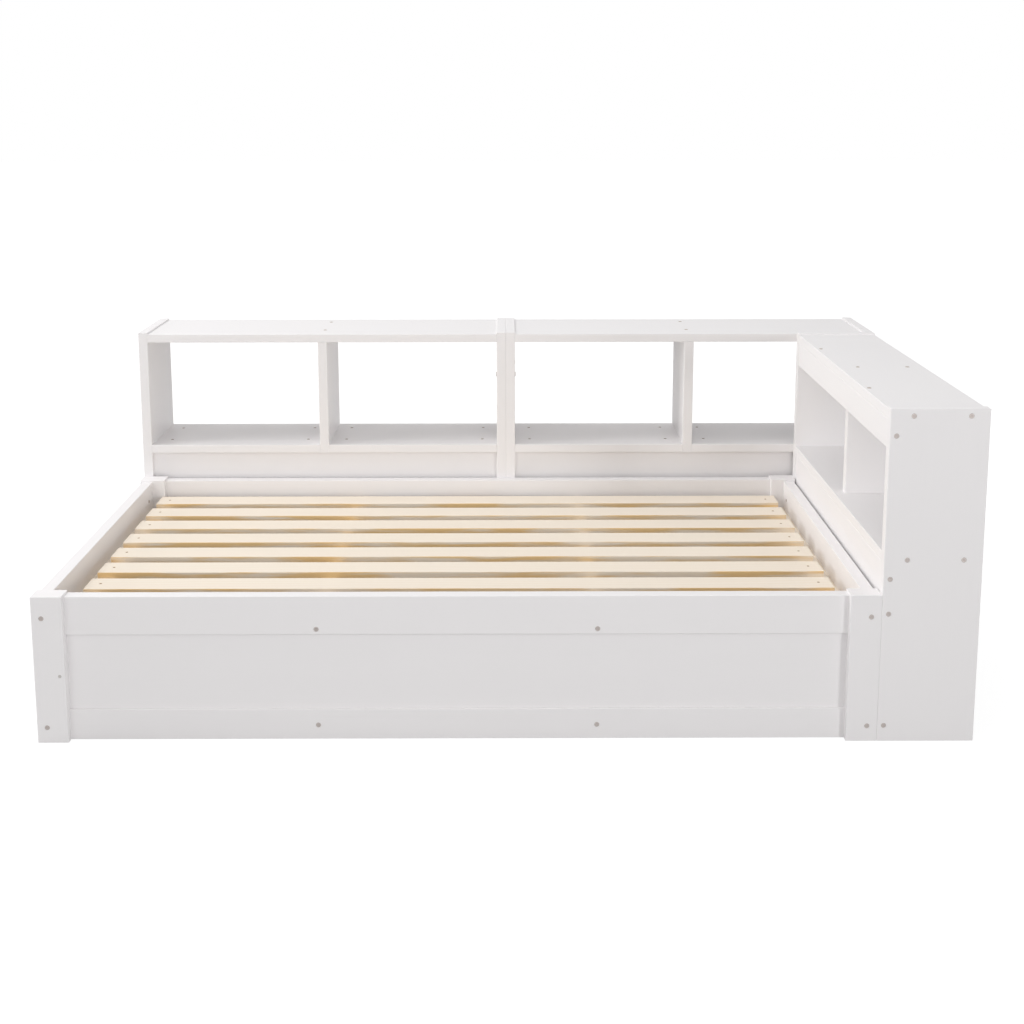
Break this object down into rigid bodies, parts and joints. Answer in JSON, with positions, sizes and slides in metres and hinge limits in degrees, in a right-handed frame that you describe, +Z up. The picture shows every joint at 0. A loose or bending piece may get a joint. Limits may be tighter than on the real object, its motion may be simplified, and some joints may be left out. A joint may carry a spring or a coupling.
{
  "type": "storage daybed",
  "caption": "Low framed daybed with pine slats, a tall open bookcase along its back and a narrow open bookcase along its right side.",
  "frame": {"origin": "on the floor, under the middle of the bounding box", "axes": "+X along the bed to the right, where the side bookcase stands; +Y to the back bookcase; +Z up"},
  "size_m": [2.242, 1.395, 0.815],
  "materials": {
    "white_paint": "smooth white paint, satin, on solid wood and board",
    "slat_pine": "bare planed pine with a faint straight grain",
    "frame_pine": "bare sawn pine",
    "zinc_steel": "dull zinc-plated steel",
    "brass": "yellow-zinc barrel nuts, dulled",
    "plug_plastic": "matt light grey hole plug"
  },
  "bodies": {
    "root": {"back_bottom_rail": "white_paint", "back_case_left_apron": "white_paint", "back_case_left_base_rail": "white_paint", "back_case_left_divider": "white_paint", "back_case_left_left_shelf": "white_paint", "back_case_left_module_left_upright": "white_paint", "back_case_left_module_right_upright": "white_paint", "back_case_left_right_shelf": "white_paint", "back_case_left_top": "white_paint", "back_case_right_apron": "white_paint", "back_case_right_base_rail": "white_paint", "back_case_right_divider": "white_paint", "back_case_right_left_shelf": "white_paint", "back_case_right_module_left_upright": "white_paint", "back_case_right_module_right_upright": "white_paint", "back_case_right_right_shelf": "white_paint", "back_case_right_top": "white_paint", "back_left_post": "white_paint", "back_panel": "white_paint", "back_right_post": "white_paint", "back_top_rail": "white_paint", "barrel_nuts": "brass", "beam_legs": "frame_pine", "case_connectors": "zinc_steel", "flat_head_bolts": "zinc_steel", "front_bottom_rail": "white_paint", "front_left_post": "white_paint", "front_panel": "white_paint", "front_right_post": "white_paint", "front_top_rail": "white_paint", "left_bottom_rail": "white_paint", "left_lower_beam": "frame_pine", "left_panel": "white_paint", "left_slat_ledger": "frame_pine", "left_top_rail": "white_paint", "left_upper_beam": "frame_pine", "post_plug": "plug_plastic", "right_bottom_rail": "white_paint", "right_lower_beam": "frame_pine", "right_panel": "white_paint", "right_slat_ledger": "frame_pine", "right_top_rail": "white_paint", "right_upper_beam": "frame_pine", "side_case_apron": "white_paint", "side_case_base_rail": "white_paint", "side_case_divider": "white_paint", "side_case_fascia": "white_paint", "side_case_front_upright": "white_paint", "side_case_rear_upright": "white_paint", "side_case_shelf": "white_paint", "side_case_top": "white_paint", "slat_1": "slat_pine", "slat_2": "slat_pine", "slat_3": "slat_pine", "slat_4": "slat_pine", "slat_5": "slat_pine", "slat_6": "slat_pine", "slat_7": "slat_pine", "slat_8": "slat_pine", "wood_screws": "zinc_steel"}
  },
  "joints": []
}
